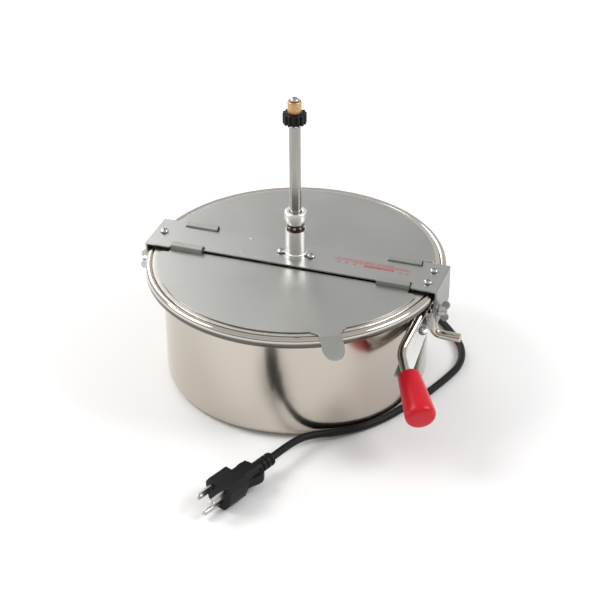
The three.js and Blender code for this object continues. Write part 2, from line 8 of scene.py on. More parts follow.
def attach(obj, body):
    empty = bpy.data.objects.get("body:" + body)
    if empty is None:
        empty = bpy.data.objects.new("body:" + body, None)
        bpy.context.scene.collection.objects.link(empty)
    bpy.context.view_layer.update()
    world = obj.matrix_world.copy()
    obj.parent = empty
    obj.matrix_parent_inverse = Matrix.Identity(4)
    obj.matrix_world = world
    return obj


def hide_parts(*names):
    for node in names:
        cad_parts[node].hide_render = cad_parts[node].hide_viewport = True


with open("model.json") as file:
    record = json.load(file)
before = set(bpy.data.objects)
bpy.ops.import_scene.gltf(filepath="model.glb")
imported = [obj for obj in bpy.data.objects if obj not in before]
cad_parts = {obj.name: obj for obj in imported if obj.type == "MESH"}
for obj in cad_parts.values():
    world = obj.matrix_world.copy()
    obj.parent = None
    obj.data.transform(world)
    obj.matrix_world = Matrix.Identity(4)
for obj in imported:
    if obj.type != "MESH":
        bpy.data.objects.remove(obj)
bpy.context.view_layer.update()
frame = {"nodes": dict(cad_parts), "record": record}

mm = 0.001
bodyOf = {node: body for body, nodes in frame["record"]["behaviour"]["bodies"].items() for node in nodes}
collection = bpy.context.scene.collection

# camera, light and floor
studio = {
    "azimuth": 19.47, "elevation": 30.81, "roll": -0.59, "distance": 1.5323, "target": (0, 0, 0.101),
    "lens": 109.14, "shift": (0.00645, -0.0625), "keyPower": 15, "fillPower": 15, "rearPower": 9,
    "lightsAimAt": (0, 0, 0.08), "floorTone": 0.93, "floorReach": 6, "floorLevel": -0.0004,
    "skyPower": 1.0,  # the sky's tones are given as height, tone
    "skyTones": [(0.0, 0.55), (0.15, 0.60), (0.40, 0.68), (0.62, 0.70), (0.85, 0.62), (1.0, 0.60)],
    "darkSide": (0.33, -0.94, 0), "darkTone": (0.22, 0.21, 0.20),
    "darkAhead": (0.25, 0.7), "darkBelow": (0.42, 0.30),  # where the dark zone fades in
}


def makeStudio():
    turn, tip, roll = (math.radians(studio[key]) for key in ("azimuth", "elevation", "roll"))
    right = Vector((math.cos(turn), math.sin(turn), 0))
    up = Vector((-math.sin(turn) * math.sin(tip), math.cos(turn) * math.sin(tip), math.cos(tip)))
    ahead = up.cross(right)
    rolledRight = right * math.cos(roll) + up * math.sin(roll)
    rolledUp = up * math.cos(roll) - right * math.sin(roll)
    camera = bpy.data.objects.new("camera", bpy.data.cameras.new("camera"))
    collection.objects.link(camera)
    camera.data.lens = studio["lens"]
    camera.data.sensor_width = 36
    camera.data.shift_x, camera.data.shift_y = studio["shift"]
    camera.data.clip_end = 20
    spot = Vector(studio["target"]) - ahead * studio["distance"]
    axes = Matrix((rolledRight, rolledUp, -ahead)).transposed().to_4x4()
    camera.matrix_world = Matrix.Translation(spot) @ axes
    bpy.context.scene.camera = camera
    lights = [  # name, place, size, power, colour
        ("keyLight", (-1.3, -0.2, 1.3), 0.9, studio["keyPower"], (1, 0.99, 0.97)),
        ("fillLight", (1.4, 0.2, 1.3), 0.9, studio["fillPower"], (0.97, 0.98, 1)),
        ("rearLight", (-1.3, 1.3, 1.1), 1.0, studio["rearPower"], (1, 1, 1)),
    ]
    for name, place, size, power, colour in lights:
        light = bpy.data.objects.new(name, bpy.data.lights.new(name, "AREA"))
        collection.objects.link(light)
        light.data.shape = "DISK"
        light.data.size = size
        light.data.energy = power
        light.data.color = colour
        light.location = place
        towards = Vector(studio["lightsAimAt"]) - light.location
        light.rotation_euler = towards.to_track_quat("-Z", "Y").to_euler()
    bpy.context.scene.view_settings.view_transform = "Standard"


makeStudio()
print("studio ready")


class Signal:  # a shader socket that Python arithmetic turns into Math nodes
    def __init__(self, owner, socket):
        self.owner, self.socket = owner, socket

    def maths(self, operation, first, second):
        return self.owner.node("ShaderNodeMath", {"operation": operation}, {0: first, 1: second})

    def __add__(self, other):
        return self.maths("ADD", self, other)

    def __sub__(self, other):
        return self.maths("SUBTRACT", self, other)

    def __rsub__(self, other):
        return self.maths("SUBTRACT", other, self)

    def __mul__(self, other):
        return self.maths("MULTIPLY", self, other)

    def __gt__(self, other):
        return self.maths("GREATER_THAN", self, other)

    def __lt__(self, other):
        return self.maths("LESS_THAN", self, other)

    __radd__ = __add__
    __rmul__ = __mul__


class Wiring:  # one shader tree, to which every method adds nodes
    def __init__(self, tree):
        self.tree = tree
        tree.nodes.clear()

    def node(self, kind, settings=None, inputs=None, output=0):
        made = self.tree.nodes.new(kind)
        for key, value in (settings or {}).items():
            if key == "stops":
                ramp = made.color_ramp
                while len(ramp.elements) < len(value):
                    ramp.elements.new(0.5)
                for element, (position, colour) in zip(ramp.elements, value):
                    element.position, element.color = position, colour
            else:
                setattr(made, key, value)
        for key, value in (inputs or {}).items():
            if isinstance(value, Signal):
                self.tree.links.new(value.socket, made.inputs[key])
            else:
                made.inputs[key].default_value = value
        return Signal(self, made.outputs[output]) if made.outputs else None

    def mix(self, factor, first, second):
        colours = {6: first, 7: second, 0: factor}
        return self.node("ShaderNodeMix", {"data_type": "RGBA"}, colours, 2)

    def fade(self, value, start, end):  # 0 at start, 1 at end
        return self.node("ShaderNodeMapRange", {"interpolation_type": "SMOOTHSTEP"},
                         {"Value": value, "From Min": start, "From Max": end})


class Finish(Wiring):  # one material: constants on the shader, patterns linked in
    def __init__(self, name, constants):
        self.material = bpy.data.materials.new(name)
        self.material.use_nodes = True
        super().__init__(self.material.node_tree)
        self.shader = self.tree.nodes.new("ShaderNodeBsdfPrincipled")
        output = self.tree.nodes.new("ShaderNodeOutputMaterial")
        self.tree.links.new(self.shader.outputs[0], output.inputs[0])
        for key, value in constants.items():
            self.shader.inputs[key].default_value = value
        self.place = self.node("ShaderNodeTexCoord", output="Object")

    def noise(self, scale, stretch=(1, 1, 1), detail=3.0):
        mapped = self.node("ShaderNodeMapping", None, {"Vector": self.place, "Scale": stretch})
        return self.node("ShaderNodeTexNoise", None, {"Vector": mapped, "Scale": scale, "Detail": detail})

    def axis(self, letter):
        return self.node("ShaderNodeSeparateXYZ", None, {0: self.place}, letter)

    def bump(self, height, strength, distance):
        inputs = {"Height": height, "Strength": strength, "Distance": distance}
        return self.node("ShaderNodeBump", None, inputs)

    def feed(self, **links):  # BaseColor=signal goes into the socket Base Color
        names = {"BaseColor": "Base Color", "Roughness": "Roughness", "Normal": "Normal"}
        for key, signal in links.items():
            self.tree.links.new(signal.socket, self.shader.inputs[names[key]])
        return self.material


def shade(colour, factor):
    return tuple(min(1, part * factor) for part in colour[:3]) + (1,)


def shades(look):  # a look's darker and lighter colour
    return [shade(look["colour"], 1 + side * look["spread"]) for side in (-1, 1)]


def metalGrain(finish, look):  # fine grain, broad clouds and the tone that both make
    grain = finish.noise(look["scale"], look["stretch"], 4.0)
    cloud = finish.noise(look["cloud"], (1, 1, 1), 2.0)
    return grain, cloud, finish.mix(grain * 0.55 + cloud * 0.45, *shades(look))


def brushedMetal(name, look):
    finish = Finish(name, {"Metallic": 1.0})
    grain, cloud, tone = metalGrain(finish, look)
    rough = look["rough"] + (grain - 0.5) * look["roughSpread"] + (cloud - 0.5) * look["roughSpread"]
    return finish.feed(BaseColor=tone, Roughness=rough, Normal=finish.bump(grain, look["bump"], 0.0001))


sheetLook = {"colour": (0.445, 0.448, 0.432), "scale": 9.0, "stretch": (6, 170, 170), "cloud": 14.0,
             "spread": 0.15, "rough": 0.36, "roughSpread": 0.20, "bump": 0.12}
drumLook = {"colour": (0.56, 0.512, 0.455), "scale": 10.0, "stretch": (3, 3, 160), "cloud": 9.0,
            "spread": 0.035, "rough": 0.17, "roughSpread": 0.06, "bump": 0.04}
beadLook = {"colour": (0.60, 0.565, 0.515), "scale": 8.0, "stretch": (4, 4, 60), "cloud": 30.0,
            "spread": 0.03, "rough": 0.10, "roughSpread": 0.05, "bump": 0.02}
bowlLook = {"colour": (0.66, 0.63, 0.59), "scale": 10.0, "stretch": (20, 20, 60), "cloud": 12.0,
            "spread": 0.05, "rough": 0.24, "roughSpread": 0.10, "bump": 0.05}
chromeLook = {"colour": (0.56, 0.52, 0.46), "scale": 40.0, "stretch": (1, 1, 1), "cloud": 60.0,
              "spread": 0.03, "rough": 0.07, "roughSpread": 0.04, "bump": 0.02}
shaftLook = {"colour": (0.33, 0.32, 0.30), "scale": 12.0, "stretch": (150, 150, 2), "cloud": 25.0,
             "spread": 0.75, "rough": 0.16, "roughSpread": 0.06, "bump": 0.03}
aluminiumLook = {"colour": (0.86, 0.86, 0.84), "scale": 12.0, "stretch": (6, 6, 190), "cloud": 30.0,
                 "spread": 0.05, "rough": 0.34, "roughSpread": 0.08, "bump": 0.04}
zincLook = {"colour": (0.56, 0.575, 0.57), "scale": 300.0, "stretch": (1, 1, 1), "cloud": 90.0,
            "spread": 0.08, "rough": 0.26, "roughSpread": 0.16, "bump": 0.06}
brassLook = {"colour": (0.60, 0.37, 0.19), "scale": 12.0, "stretch": (6, 6, 190), "cloud": 60.0,
             "spread": 0.10, "rough": 0.42, "roughSpread": 0.12, "bump": 0.10}
oxideLook = {"colour": (0.10, 0.065, 0.05), "scale": 250.0, "stretch": (1, 1, 1), "cloud": 120.0,
             "spread": 0.25, "rough": 0.38, "roughSpread": 0.14, "bump": 0.10}
nickelLook = {"colour": (0.60, 0.59, 0.56), "scale": 60.0, "stretch": (2, 2, 12), "cloud": 90.0,
              "spread": 0.08, "rough": 0.28, "roughSpread": 0.12, "bump": 0.08}


def mouldedPlastic(name, look):
    finish = Finish(name, {"Metallic": 0.0, "IOR": 1.47, "Coat Roughness": 0.12,
                           "Coat Weight": look["coat"],
                           "Specular IOR Level": look.get("gloss", 0.5)})
    pebble = finish.noise(look["scale"], (1, 1, 1), 3.0)
    cloud = finish.noise(35.0, (1, 1, 1), 2.0)
    tone = finish.mix(cloud, *shades(look))
    rough = look["rough"] + (pebble - 0.5) * 0.12 + (cloud - 0.5) * 0.08
    return finish.feed(BaseColor=tone, Roughness=rough, Normal=finish.bump(pebble, look["bump"], 0.0002))


redLook = {"colour": (0.60, 0.008, 0.020), "scale": 900.0, "rough": 0.30, "bump": 0.05, "spread": 0.06,
           "coat": 0.0, "gloss": 0.32}
blackLook = {"colour": (0.006, 0.006, 0.0065), "scale": 1200.0, "rough": 0.50, "bump": 0.14, "spread": 0.25,
             "coat": 0.0, "gloss": 0.26}
gearLook = {"colour": (0.011, 0.011, 0.012), "scale": 900.0, "rough": 0.40, "bump": 0.08, "spread": 0.2,
            "coat": 0.0, "gloss": 0.28}
fibreLook = {"colour": (0.60, 0.56, 0.46), "scale": 500.0, "rough": 0.93, "bump": 0.6, "spread": 0.12,
             "coat": 0.0}
ceramicLook = {"colour": (0.74, 0.71, 0.64), "scale": 700.0, "rough": 0.6, "bump": 0.2, "spread": 0.05,
               "coat": 0.0}

paintedShadeUnder = {"from": 103.0, "to": 100.8, "tone": 0.20}  # heights where painted shade darkens the bead's underside, in place of its shadow and dark reflection


def beadMetal():
    finish = Finish("polishedBead", {"Metallic": 1.0})
    grain, _, tone = metalGrain(finish, beadLook)
    # painted shade: below these heights the bead's colour is darkened towards the given tone
    paintedShade = finish.fade(finish.axis("Z"), paintedShadeUnder["from"] * mm, paintedShadeUnder["to"] * mm)
    tone = finish.mix(paintedShade, tone, shade(beadLook["colour"], paintedShadeUnder["tone"]))
    rough = beadLook["rough"] + (grain - 0.5) * beadLook["roughSpread"] + paintedShade * 0.08
    return finish.feed(BaseColor=tone, Roughness=rough, Normal=finish.bump(grain, beadLook["bump"], 0.0001))


barLook = dict(sheetLook, colour=(0.46, 0.46, 0.445), spread=0.07)
printAndShadeLook = {"colour": (0.62, 0.05, 0.08, 1), "strength": 0.8, "above": 108.8, "wear": 0.38,
             # the two flange keys set painted shade: beyond this x the upright ends are darkened to this
             # tone
             "flange": 127.7, "flangeShadeTone": 0.62,  # bars: x from and to, y from and to, in millimetres
             "bars": [(34, 84, 5.9, 6.7), (32, 97, 3.7, 4.6), (50, 99, 1.9, 2.6), (60, 86, -1.9, 0.8),
                      (36, 39, -0.2, 1.3), (43, 46, -0.6, 0.9), (50, 53, -1.0, 0.5), (90, 93, -2.6, -1.1),
                      (96, 99, -2.9, -1.4)]}


def barMetal():  # brushed sheet with faint unlettered red print bars and painted shade on the upright ends
    finish = Finish("barSteel", {"Metallic": 1.0})
    grain, cloud, tone = metalGrain(finish, barLook)
    across, along = finish.axis("X"), finish.axis("Y")
    worn = finish.noise(900.0, (1, 1, 1), 2.0)
    inked = finish.axis("Z") > printAndShadeLook["above"] * mm
    covered = None
    for left, right, low, high in printAndShadeLook["bars"]:
        bar = (across > left * mm) * (across < right * mm) * (along > low * mm) * (along < high * mm)
        covered = bar if covered is None else covered + bar
    ink = covered * inked * (worn > printAndShadeLook["wear"]) * printAndShadeLook["strength"]
    tone = finish.mix(ink, tone, printAndShadeLook["colour"])
    edge = printAndShadeLook["flange"] * mm
    flange = (across > edge) + (across < -edge)  # painted shade: the upright ends are darkened in colour
    tone = finish.mix(flange, tone, shade(barLook["colour"], printAndShadeLook["flangeShadeTone"]))
    spread = barLook["roughSpread"]
    rough = barLook["rough"] + (grain - 0.5) * spread + (cloud - 0.5) * spread
    return finish.feed(BaseColor=tone, Roughness=rough, Normal=finish.bump(grain, barLook["bump"], 0.0001))


def floorMaterial():
    finish = Finish("paleFloor", {"Metallic": 0.0, "Roughness": 0.9})
    tone = studio["floorTone"]
    cloud = finish.noise(3.0)
    return finish.feed(BaseColor=finish.mix(cloud, (tone, tone, tone, 1), (tone + 0.02,) * 3 + (1,)))


finishes = {
    "sheet": brushedMetal("brushedSheet", sheetLook), "bar": barMetal(),
    "drum": brushedMetal("spunDrum", drumLook),
    "bead": beadMetal(), "bowl": brushedMetal("spunBowl", bowlLook),
    "chrome": brushedMetal("chromeRod", chromeLook), "shaft": brushedMetal("groundShaft", shaftLook),
    "aluminium": brushedMetal("turnedAluminium", aluminiumLook), "zinc": brushedMetal("zincPlate", zincLook),
    "brass": brushedMetal("turnedBrass", brassLook), "oxide": brushedMetal("darkOxide", oxideLook),
    "nickel": brushedMetal("nickelPlate", nickelLook), "red": mouldedPlastic("redPlastic", redLook),
    "black": mouldedPlastic("blackPlastic", blackLook), "gear": mouldedPlastic("gearPlastic", gearLook),
    "fibre": mouldedPlastic("mineralFibre", fibreLook),
    "ceramic": mouldedPlastic("ceramicBody", ceramicLook),
}


def makeFloor():
    mesh = bpy.data.meshes.new("floor")
    far, level = studio["floorReach"], studio["floorLevel"]
    corners = [(-far, -far, level), (far, -far, level), (far, far, level), (-far, far, level)]
    mesh.from_pydata(corners, [], [(0, 1, 2, 3)])
    floor = bpy.data.objects.new("floor", mesh)
    collection.objects.link(floor)
    mesh.materials.append(floorMaterial())


def makeSky():  # even grey, with a darker low zone for the metal to reflect
    world = bpy.data.worlds.new("studioWorld")
    bpy.context.scene.world = world
    world.use_nodes = True
    sky = Wiring(world.node_tree)
    direction = sky.node("ShaderNodeTexCoord", output="Generated")
    height = sky.node("ShaderNodeSeparateXYZ", None, {0: direction}, "Z")
    stops = [(level, (tone, tone * 0.99, tone * 0.975, 1)) for level, tone in studio["skyTones"]]
    rise = sky.node("ShaderNodeValToRGB", {"stops": stops}, {0: height})
    side = sky.node("ShaderNodeVectorMath", {"operation": "DOT_PRODUCT"},
                    {0: direction, 1: studio["darkSide"]}, "Value")
    dark = sky.fade(side, *studio["darkAhead"]) * sky.fade(height, *studio["darkBelow"])
    colour = sky.mix(dark, rise, (*studio["darkTone"], 1))
    glow = sky.node("ShaderNodeBackground", None, {0: colour, 1: studio["skyPower"]})
    sky.node("ShaderNodeOutputWorld", None, {0: glow})


makeFloor()
makeSky()
print("finishes ready")


# mesh helpers: sizes come in millimetres, meshes are in metres
def settle(piece, finish, body, nodes, smooth=35):  # smooth None keeps the normals as they are
    piece.data.materials.clear()
    piece.data.materials.append(finishes[finish])
    if smooth:
        piece.data.shade_smooth()
        piece.data.set_sharp_from_angle(angle=math.radians(smooth))
    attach(piece, body)
    if nodes:
        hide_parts(*nodes)
    return piece


def objectFrom(name, mesh):
    piece = bpy.data.objects.new(name, mesh)
    collection.objects.link(piece)
    return piece


def meshFrom(name, build, matrix=None):
    mesh = bpy.data.meshes.new(name)
    if matrix is not None:
        bmesh.ops.transform(build, matrix=matrix, verts=build.verts)
    bmesh.ops.remove_doubles(build, verts=build.verts, dist=1e-7)
    bmesh.ops.recalc_face_normals(build, faces=build.faces)
    build.to_mesh(mesh)
    build.free()
    return mesh


def rounded(profile, size, steps=3):  # fillet every corner of a flat outline
    shut = profile[0] == profile[-1]
    points = [Vector(p) for p in (profile[:-1] if shut else profile)]
    count = len(points)
    result = []
    for i, corner in enumerate(points):
        if not shut and i in (0, count - 1):
            result.append(corner)
            continue
        before, after = points[i - 1], points[(i + 1) % count]
        into, out = corner - before, after - corner
        if into.length < 1e-6 or out.length < 1e-6 or into.angle(out) < 0.3:
            result.append(corner)
            continue
        reach = min(size, into.length * 0.45, out.length * 0.45)
        start, end = corner - into.normalized() * reach, corner + out.normalized() * reach
        for k in range(steps + 1):
            t = k / steps
            result.append(start * (1 - t) ** 2 + corner * 2 * t * (1 - t) + end * t ** 2)
    if shut:
        result.append(result[0])
    return [(p.x, p.y) for p in result]


def arc(x, y, radius, start, end, steps):
    turns = [math.radians(start + (end - start) * i / steps) for i in range(steps + 1)]
    return [(x + radius * math.cos(t), y + radius * math.sin(t)) for t in turns]


def latheMesh(name, profile, segments, matrix=None):
    build = bmesh.new()
    shut = profile[0] == profile[-1]
    rings = []
    for radius, height in (profile[:-1] if shut else profile):
        if radius < 1e-6:
            rings.append([build.verts.new((0, 0, height * mm))])
            continue
        rings.append([build.verts.new((radius * mm * math.cos(a), radius * mm * math.sin(a), height * mm))
                      for a in (2 * math.pi * k / segments for k in range(segments))])
    pairs = list(zip(rings, rings[1:])) + ([(rings[-1], rings[0])] if shut else [])
    for lower, upper in pairs:
        for k in range(segments):
            corners = [lower[k % len(lower)], lower[(k + 1) % len(lower)],
                       upper[(k + 1) % len(upper)], upper[k % len(upper)]]
            corners = list(dict.fromkeys(corners))
            if len(corners) > 2:
                build.faces.new(corners)
    return meshFrom(name, build, matrix)


def lathe(name, profile, segments, finish, body, nodes, matrix=None):
    piece = objectFrom(name, latheMesh(name, profile, segments, matrix))
    return settle(piece, finish, body, nodes)


def aim(axis, place):  # a matrix that sends +Z along axis and the origin to place, given in millimetres
    turn = Vector((0, 0, 1)).rotation_difference(Vector(axis)).to_matrix().to_4x4()
    return Matrix.Translation(Vector(place) * mm) @ turn


def sweep(name, path, radius, sides, finish, body, nodes, ease):  # ease rounds both ends
    build = bmesh.new()
    points = [Vector(p) for p in path]
    tangents = [(points[min(i + 1, len(points) - 1)] - points[max(i - 1, 0)]).normalized()
                for i in range(len(points))]
    side = tangents[0].orthogonal().normalized()
    stations = []
    for i, (point, tangent) in enumerate(zip(points, tangents)):
        if i:
            side = tangents[i - 1].rotation_difference(tangent) @ side
        stations.append((point, tangent, side.normalized(), radius))
    first, last = stations[0], stations[-1]
    stations[0] = (first[0], first[1], first[2], radius - ease)
    stations.insert(1, (first[0] + first[1] * ease, first[1], first[2], radius))
    stations[-1] = (last[0] - last[1] * ease, last[1], last[2], radius)
    stations.append((last[0], last[1], last[2], radius - ease))
    rings = []
    for point, tangent, side, size in stations:
        other = tangent.cross(side)
        rings.append([build.verts.new((point + side * size * math.cos(a) + other * size * math.sin(a)) * mm)
                      for a in (2 * math.pi * k / sides for k in range(sides))])
    for lower, upper in zip(rings, rings[1:]):
        for k in range(sides):
            build.faces.new((lower[k], lower[(k + 1) % sides], upper[(k + 1) % sides], upper[k]))
    build.faces.new(rings[0])
    build.faces.new(rings[-1])
    return settle(objectFrom(name, meshFrom(name, build)), finish, body, nodes)


def bevelled(piece, width, steps=2, angle=34):
    bevel = piece.modifiers.new("edges", "BEVEL")
    bevel.width = width * mm
    bevel.segments = steps
    bevel.limit_method = "ANGLE"
    bevel.angle_limit = math.radians(angle)
    bevel.use_clamp_overlap = True
    piece.data.shade_smooth()
    weigh = piece.modifiers.new("weigh", "WEIGHTED_NORMAL")
    weigh.weight = 100
    weigh.keep_sharp = True
    flat = bpy.data.meshes.new_from_object(piece.evaluated_get(bpy.context.evaluated_depsgraph_get()))
    piece.modifiers.clear()
    piece.data = flat
    return piece


def cadCopy(name, node):
    build = bmesh.new()
    build.from_mesh(frame["nodes"][node].data)
    bmesh.ops.remove_doubles(build, verts=build.verts, dist=2e-6)
    bmesh.ops.dissolve_limit(build, angle_limit=math.radians(1), verts=build.verts, edges=build.edges)
    return objectFrom(name, meshFrom(name, build))


def refined(name, node, finish, width=0.25, steps=2, angle=34):  # the CAD shape with softened edges
    piece = bevelled(cadCopy(name, node), width, steps, angle)
    return settle(piece, finish, bodyOf[node], [node], None)


# mains lead: the route that the CAD lead follows
leadRoute = {
    "radius": 3.1, "sides": 20, "perSpan": 9,
    "points": [(0, 145.9, 22), (0, 155, 21.4), (4.5, 166, 18), (15, 174.5, 12.5), (29, 174.5, 7.5),
               (43, 167, 4.3), (57, 153.5, 3.2), (72, 136, 3.2), (86, 119, 3.2), (99.5, 102.5, 3.2),
               (114, 86, 3.2), (127, 69, 3.2), (134, 52, 3.2), (135.5, 34, 3.2), (131.5, 16, 3.2),
               (125.5, -2, 3.2), (118.5, -20, 3.2), (109, -38.5, 3.2), (97.5, -60, 3.4),
               (81.8, -80.8, 4.4), (65, -96.3, 6.2), (52.6, -106, 8), (44.5, -116, 9.6),
               (39.8, -126.5, 10.8), (36.5, -136, 11.6), (30.684, -152.76, 12)],
}


def between(first, second, start, end, at):
    return first * ((end - at) / (end - start)) + second * ((at - start) / (end - start))


def centripetal(points, perSpan):  # one smooth curve through every point
    spots = [Vector(p) for p in points]
    spots = [spots[0] * 2 - spots[1]] + spots + [spots[-1] * 2 - spots[-2]]
    curve = []
    for i in range(1, len(spots) - 2):
        group = spots[i - 1:i + 3]
        times = [0]
        for before, after in zip(group, group[1:]):
            times.append(times[-1] + (after - before).length ** 0.5)
        for k in range(perSpan):
            t = times[1] + (times[2] - times[1]) * k / perSpan
            near = [between(group[j], group[j + 1], times[j], times[j + 1], t) for j in range(3)]
            wide = [between(near[j], near[j + 1], times[j], times[j + 2], t) for j in range(2)]
            curve.append(between(*wide, times[1], times[2], t))
    curve.append(spots[-2])
    return curve


leadPath = centripetal(leadRoute["points"], leadRoute["perSpan"])
leadLength = sum((after - before).length for before, after in zip(leadPath, leadPath[1:]))
lead = sweep("powerLead", leadPath, leadRoute["radius"], leadRoute["sides"], "black", "kettle",
             ["power_cord"], 0.2)

plugFrame = {"start": (30.9, -152.2), "run": (-0.36, -0.933), "height": 12, "bootEnd": 18,
             "grooves": (4.2, 9.2, 14.2)}


def makePlug():
    run = Vector((*plugFrame["run"], 0)).normalized()
    start = (*plugFrame["start"], plugFrame["height"])
    body = cadCopy("plugBody", "plug_body")
    trimmed = bmesh.new()
    trimmed.from_mesh(body.data)
    cut = (Vector(start) + run * plugFrame["bootEnd"]) * mm
    made = bmesh.ops.bisect_plane(trimmed, geom=trimmed.verts[:] + trimmed.edges[:] + trimmed.faces[:],
                                  plane_co=cut, plane_no=-run, clear_outer=True)
    rim = [item for item in made["geom_cut"] if isinstance(item, bmesh.types.BMEdge)]
    bmesh.ops.edgeloop_fill(trimmed, edges=rim)
    body.data = meshFrom("plugBody", trimmed)
    bevelled(body, 1.3, 4, 25)
    settle(body, "black", "kettle", ["plug_body"], None)
    profile = [(0, 0), (4.6, 0), (5.4, 0.8)]
    for rib in plugFrame["grooves"]:
        profile += [(5.65, rib - 0.9), (4.5, rib - 0.5), (4.5, rib + 0.5), (5.65, rib + 0.9)]
    profile += [(5.65, 19), (5.3, 27), (0, 27)]
    boot = lathe("plugBoot", rounded(profile, 0.4), 48, "black", "kettle", [],
                 aim(run, start))
    prongNodes = {"plugBladeLeft": "plug_blade_left", "plugBladeRight": "plug_blade_right",
                  "plugEarthPin": "plug_ground_pin"}
    prongs = [refined(name, node, "nickel", 0.25, 2) for name, node in prongNodes.items()]
    return [body, boot, *prongs]


plugPieces = makePlug()
tuple(leadPath[0] * mm)
[tuple(p * mm) for p in leadPath]

glandShape = {"z": 22, "start": 112.3, "length": 33, "wide": 8, "tip": 4.2, "ribs": 6, "step": 4.2}


def makeGland():
    profile = [(0, -6), (5, -6), (5, 0), (glandShape["wide"], 0), (glandShape["wide"], 3), (6.4, 4)]
    for rib in range(glandShape["ribs"]):
        along = 6 + rib * glandShape["step"]
        radius = 6.2 - rib * 0.33
        profile += [(radius, along), (radius - 0.9, along + 0.5), (radius - 0.9, along + 1.4),
                    (radius - 0.1, along + 1.9)]
    profile += [(glandShape["tip"], glandShape["length"]), (0, glandShape["length"])]
    lathe("cordGland", rounded(profile, 0.3), 40, "black", "kettle", ["cord_gland"],
          aim((0, 1, 0), (0, glandShape["start"], glandShape["z"])))


makeGland()
print("lead and plug ready", round(leadLength), "mm")

# drum, rim and bowl
shell = {"radius": 112, "wall": 1, "foot": 9, "lip": 94, "neck": 93.6, "flare": 6,
         "beadRing": 123.4, "beadRadius": 3.1, "beadHeight": 102.7, "skirt": 3.2, "segments": 240}


def makeShell():
    radius, wall, foot = shell["radius"], shell["wall"], shell["foot"]
    shelf = shell["neck"] + shell["flare"]
    flareRing = radius + shell["flare"]
    lower = [(shell["lip"], 0), *arc(radius - foot, foot, foot, -90, 0, 14), (radius, 30), (radius, 62),
             (radius, shell["neck"]), *arc(flareRing, shell["neck"], shell["flare"], 180, 163, 2)]
    back = [*arc(flareRing, shell["neck"], shell["flare"] + wall, 163, 180, 2), (radius - wall, 40),
            *arc(radius - foot, foot, foot - wall, 0, -90, 10), (shell["lip"], wall), (shell["lip"], 0)]
    lathe("drumShell", lower + back, shell["segments"], "drum", "kettle", ["outer_drum"])
    ring, beadRadius, height = shell["beadRing"], shell["beadRadius"], shell["beadHeight"]
    profile = [*arc(flareRing, shell["neck"], shell["flare"], 163, 90, 8),
               *arc(ring, height - shell["skirt"], beadRadius, 180, 360, 24),
               *arc(ring, height, beadRadius, 0, 215, 26),
               (flareRing + 0.6, shelf + wall),
               *arc(flareRing, shell["neck"], shell["flare"] + wall, 90, 163, 8)]
    profile.append(profile[0])
    lathe("rimBead", profile, shell["segments"], "bead", "kettle", ["rim_ring"])


makeShell()

bowl = {"radius": 108, "floor": 32, "corner": 13, "brim": 120.7, "top": 105.8, "fold": 2, "wall": 1}


def makeBowl():
    wall, fold = bowl["wall"], bowl["fold"]
    turnHeight, foldHeight = bowl["floor"] + bowl["corner"], bowl["top"] - bowl["wall"] - bowl["fold"]
    foldRing = bowl["radius"] + fold
    profile = [(0, bowl["floor"]), (40, bowl["floor"]),
               *arc(bowl["radius"] - bowl["corner"], turnHeight, bowl["corner"], -90, 0, 12),
               *arc(foldRing, foldHeight, fold, 180, 90, 6), (bowl["brim"], bowl["top"] - wall),
               (bowl["brim"], bowl["top"] - 0.15), (bowl["brim"] - 0.15, bowl["top"]),
               *arc(foldRing, foldHeight, fold + wall, 90, 180, 6),
               *arc(bowl["radius"] - bowl["corner"], turnHeight, bowl["corner"] - wall, 0, -90, 12),
               (40, bowl["floor"] + wall), (0, bowl["floor"] + wall)]
    lathe("cookingBowl", profile, shell["segments"], "bowl", "kettle", ["cooking_bowl"])


makeBowl()
print("drum and bowl ready")

# lids and crossbar
for node, name in (("lid_front", "lidFront"), ("lid_rear", "lidRear")):
    refined(name, node, "sheet", 0.16, 2, 40)
refined("crossbar", "crossbar", "bar", 0.3, 3, 40)
for node, name in (("rest_pad_left", "restPadLeft"), ("rest_pad_right", "restPadRight"),
                   ("side_bracket_left", "sideBracketLeft"), ("side_bracket_right", "sideBracketRight"),
                   ("handle_strap", "handleStrap")):
    refined(name, node, "sheet" if "pad" not in node else "zinc", 0.25, 2, 40)

pips = {"places": [(-44, 13), (-44.6, -9)], "radius": 1.7, "height": 0.22, "seat": 109.1}


def makePips():  # low pressed dimples on the crossbar
    build = bmesh.new()
    for x, y in pips["places"]:
        made = bmesh.ops.create_uvsphere(build, u_segments=24, v_segments=12, radius=1)["verts"]
        radius, height = pips["radius"] * mm, pips["height"] * mm
        size = Matrix.Diagonal((radius * 1.5, radius * 0.7, height, 1))
        place = Matrix.Translation(Vector((x, y, pips["seat"])) * mm)
        bmesh.ops.transform(build, matrix=place @ size, verts=made)
    settle(objectFrom("pressedPips", meshFrom("pressedPips", build)), "bar", "kettle", [])


makePips()
print("lids and crossbar ready")


# geometry nodes: one builder for the trees below
def nodeTree(name, inputs):
    tree = bpy.data.node_groups.new(name, "GeometryNodeTree")
    for label, kind in inputs:
        tree.interface.new_socket(label, in_out="INPUT", socket_type=kind)
    tree.interface.new_socket("Geometry", in_out="OUTPUT", socket_type="NodeSocketGeometry")
    return tree


def growth(tree, kind, settings=None, inputs=None):
    made = tree.nodes.new(kind)
    for key, value in (settings or {}).items():
        setattr(made, key, value)
    for key, value in (inputs or {}).items():
        if isinstance(value, bpy.types.NodeSocket):
            tree.links.new(value, made.inputs[key])
        else:
            made.inputs[key].default_value = value
    return made


def grown(name, tree, values):  # run a tree on an empty mesh and keep the plain result
    piece = objectFrom(name, bpy.data.meshes.new(name))
    modifier = piece.modifiers.new("grow", "NODES")
    modifier.node_group = tree
    for item in tree.interface.items_tree:
        if item.in_out == "INPUT" and item.name in values:
            modifier[item.identifier] = values[item.name]
    result = bpy.data.meshes.new_from_object(piece.evaluated_get(bpy.context.evaluated_depsgraph_get()))
    piece.modifiers.clear()
    piece.data = result
    return piece


